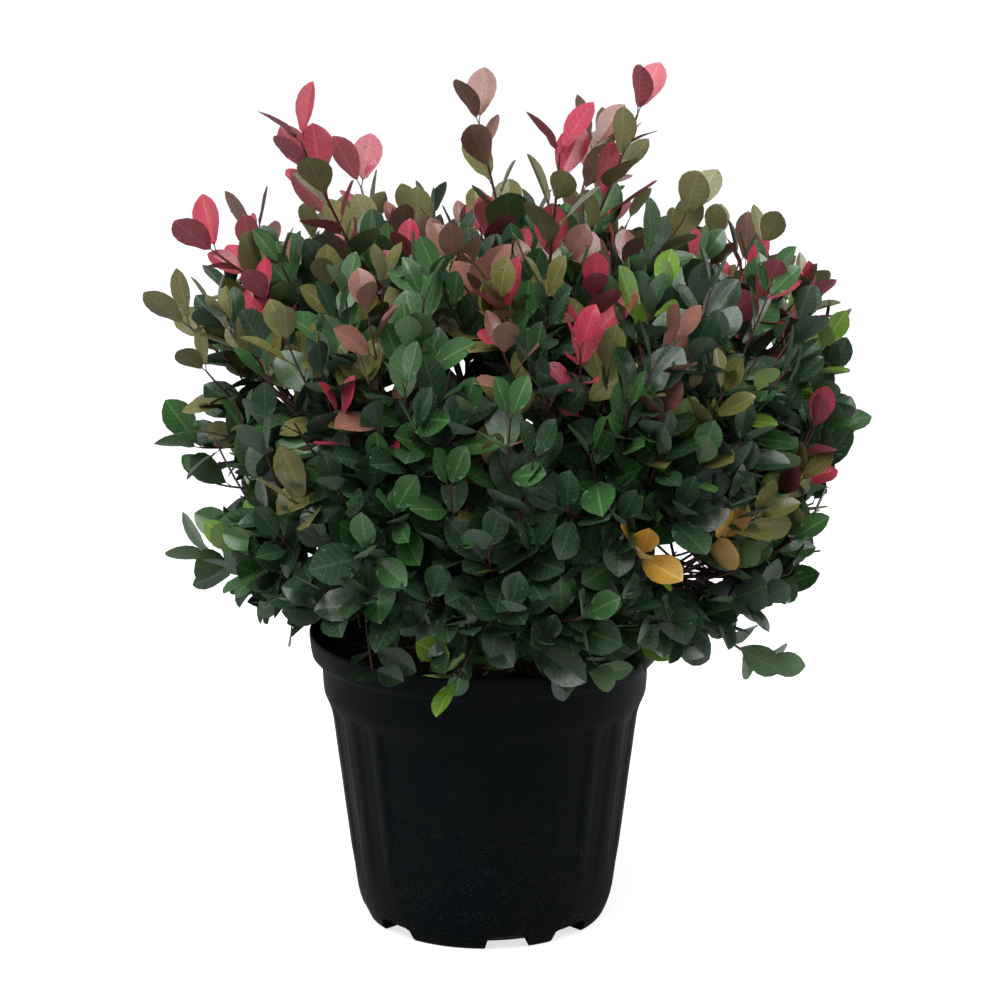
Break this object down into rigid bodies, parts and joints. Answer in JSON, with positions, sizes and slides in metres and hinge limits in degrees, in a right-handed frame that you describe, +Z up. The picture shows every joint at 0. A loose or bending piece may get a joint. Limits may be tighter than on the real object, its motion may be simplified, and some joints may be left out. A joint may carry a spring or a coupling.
{
  "type": "potted red-tipped photinia shrub",
  "caption": "Compact evergreen shrub with glossy green leaves and red young shoots, growing in a round black nursery pot with a rolled rim.",
  "frame": {"origin": "centre of the pot's flat underside", "axes": "+Z up from the pot's foot to the crown, +X to the right and +Y away for a viewer who faces the pot's wide panel"},
  "size_m": [0.561, 0.5258, 0.6764],
  "materials": {
    "pot": "satin black, dusty",
    "compost": "moist and crumbly",
    "bark": "fine matt bark",
    "foliage_low": "glossy leaf",
    "foliage_middle": "glossy leaf",
    "foliage_top": "glossy leaf"
  },
  "bodies": {
    "root": {"pot": "pot", "compost": "compost", "trunk": "bark", "bough_low_1": "bark", "bough_low_2": "bark", "bough_low_3": "bark", "bough_low_4": "bark", "bough_low_5": "bark", "bough_low_6": "bark", "bough_low_7": "bark", "bough_middle_1": "bark", "bough_middle_2": "bark", "bough_middle_3": "bark", "bough_middle_4": "bark", "bough_middle_5": "bark", "bough_top_1": "bark", "bough_top_2": "bark", "bough_top_3": "bark", "foliage_low_1": "foliage_low", "foliage_low_2": "foliage_low", "foliage_low_3": "foliage_low", "foliage_low_4": "foliage_low", "foliage_low_5": "foliage_low", "foliage_low_6": "foliage_low", "foliage_low_7": "foliage_low", "foliage_middle_1": "foliage_middle", "foliage_middle_2": "foliage_middle", "foliage_middle_3": "foliage_middle", "foliage_middle_4": "foliage_middle", "foliage_middle_5": "foliage_middle", "foliage_top_1": "foliage_top", "foliage_top_2": "foliage_top", "foliage_top_3": "foliage_top"}
  },
  "joints": []
}
